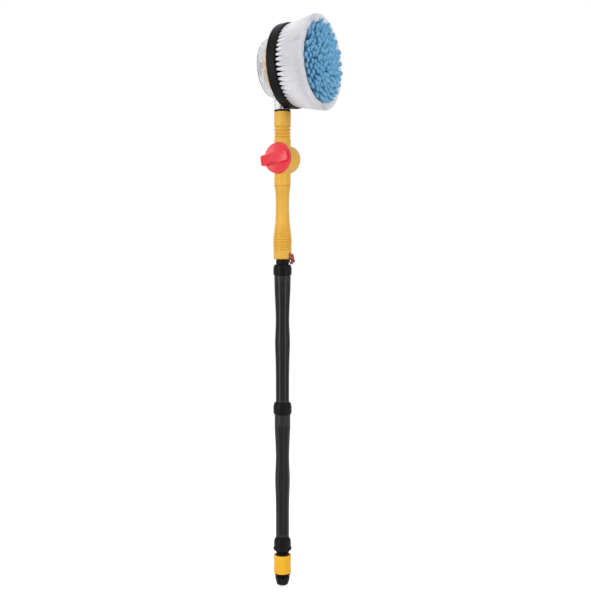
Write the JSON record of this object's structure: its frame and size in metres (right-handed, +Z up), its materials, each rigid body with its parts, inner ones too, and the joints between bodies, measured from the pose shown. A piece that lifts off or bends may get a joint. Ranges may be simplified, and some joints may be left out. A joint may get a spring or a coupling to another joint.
{
  "type": "rotary hose brush",
  "caption": "Water-driven rotary wash brush on a two-section handle, with a flow valve, a clear geared turbine head, bristles round a chenille pad and a hose coupling.",
  "frame": {"origin": "middle of the hand grip, on the axis of the pole", "axes": "+Z up along the pole from the hose end towards the head; +X from the pole towards what is washed, along the axis of the brush"},
  "size_m": [0.1298, 0.1756, 1.0701],
  "materials": {
    "yellow_plastic": "moulded, fine grain",
    "bright_yellow_plastic": "moulded, smooth",
    "black_plastic": "moulded, satin",
    "charcoal_plastic": "moulded, satin",
    "red_plastic": "moulded, smooth",
    "clear_plastic": "clear polycarbonate",
    "white_acetal": "moulded, satin",
    "grey_acetal": "moulded, satin",
    "stainless_steel": "plain",
    "black_rubber": "matte",
    "white_nylon": "extruded filament",
    "grey_foam": "open cell foam",
    "blue_chenille": "microfibre pile"
  },
  "bodies": {
    "pole": {"hand_grip": "yellow_plastic", "grip_seal": "black_rubber", "valve_handle": "yellow_plastic", "plug_retaining_ring": "stainless_steel", "pole_connector": "charcoal_plastic", "connector_seal_upper": "black_rubber", "connector_seal_lower": "black_rubber", "latch_pin": "stainless_steel", "latch_spring": "stainless_steel", "top_collar": "charcoal_plastic", "upper_pole": "charcoal_plastic", "middle_collar": "charcoal_plastic", "pole_gasket": "black_rubber", "lower_pole": "charcoal_plastic", "tap_adaptor": "black_plastic", "nose_seal": "black_rubber", "neck_nipple": "black_plastic", "neck_washer": "black_rubber", "clear_housing": "clear_plastic", "ring_gear_plate": "bright_yellow_plastic", "gearbox_cover": "black_plastic", "hub_bush": "white_acetal", "housing_screw_1": "stainless_steel", "housing_screw_2": "stainless_steel", "housing_screw_3": "stainless_steel"},
    "brush": {"output_carrier": "white_acetal", "planet_pin_1": "stainless_steel", "planet_pin_2": "stainless_steel", "planet_pin_3": "stainless_steel", "brush_disc": "black_plastic", "brush_washer": "stainless_steel", "brush_screw": "stainless_steel", "bristle_ring": "white_nylon", "foam_block": "grey_foam", "chenille_pad": "blue_chenille"},
    "turbine": {"turbine_wheel": "grey_acetal", "turbine_shaft": "stainless_steel", "sun_gear": "white_acetal"},
    "planet_1": {"planet_gear_1": "white_acetal"},
    "planet_2": {"planet_gear_2": "white_acetal"},
    "planet_3": {"planet_gear_3": "white_acetal"},
    "knob": {"flow_knob": "red_plastic", "valve_plug": "white_acetal", "plug_seal": "black_rubber"},
    "latch": {"release_latch": "red_plastic"},
    "coupling": {"coupling_body": "black_plastic", "coupling_claw_1": "white_acetal", "coupling_claw_2": "white_acetal", "coupling_claw_3": "white_acetal", "sleeve_spring": "stainless_steel", "hose_nut": "black_plastic", "hose_collet": "white_acetal"},
    "sleeve": {"coupling_sleeve": "bright_yellow_plastic"}
  },
  "joints": [
    {"name": "brush_spin", "type": "hinge", "parent": "pole", "child": "brush", "pos_m": [0.009, 0, 0.2938], "axis": [1, 0, 0], "continuous": true},
    {"name": "turbine_spin", "type": "hinge", "parent": "pole", "child": "turbine", "pos_m": [-0.012, 0, 0.2938], "axis": [1, 0, 0], "continuous": true},
    {"name": "planet_1_spin", "type": "hinge", "parent": "brush", "child": "planet_1", "pos_m": [-0.0028, 0, 0.27385], "axis": [1, 0, 0], "continuous": true},
    {"name": "planet_2_spin", "type": "hinge", "parent": "brush", "child": "planet_2", "pos_m": [-0.0028, 0.01728, 0.30378], "axis": [1, 0, 0], "continuous": true},
    {"name": "planet_3_spin", "type": "hinge", "parent": "brush", "child": "planet_3", "pos_m": [-0.0028, -0.01728, 0.30378], "axis": [1, 0, 0], "continuous": true},
    {"name": "valve_turn", "type": "hinge", "parent": "pole", "child": "knob", "pos_m": [0, 0, 0.1213], "axis": [-0.0698, -0.9976, 0], "range_deg": [-8, 82]},
    {"name": "latch_press", "type": "hinge", "parent": "pole", "child": "latch", "pos_m": [0.0205, 0, -0.072], "axis": [0, 1, 0], "range_deg": [0, 10], "stiffness_Nm_per_rad": 0.4, "springref_deg": -5.73, "deforming": ["latch_spring"]},
    {"name": "coupling_swivel", "type": "hinge", "parent": "pole", "child": "coupling", "pos_m": [0, 0, -0.645], "axis": [0, 0, 1], "continuous": true},
    {"name": "sleeve_slide", "type": "slide", "parent": "coupling", "child": "sleeve", "axis": [0, 0, -1], "range_m": [0, 0.0055], "stiffness_N_per_m": 600, "springref_m": -0.004, "deforming": ["sleeve_spring"]}
  ],
  "couplings": [
    {"joint": "turbine_spin", "follows": "brush_spin", "ratio": 4.6667},
    {"joint": "planet_1_spin", "follows": "brush_spin", "ratio": -2.75},
    {"joint": "planet_2_spin", "follows": "brush_spin", "ratio": -2.75},
    {"joint": "planet_3_spin", "follows": "brush_spin", "ratio": -2.75}
  ]
}
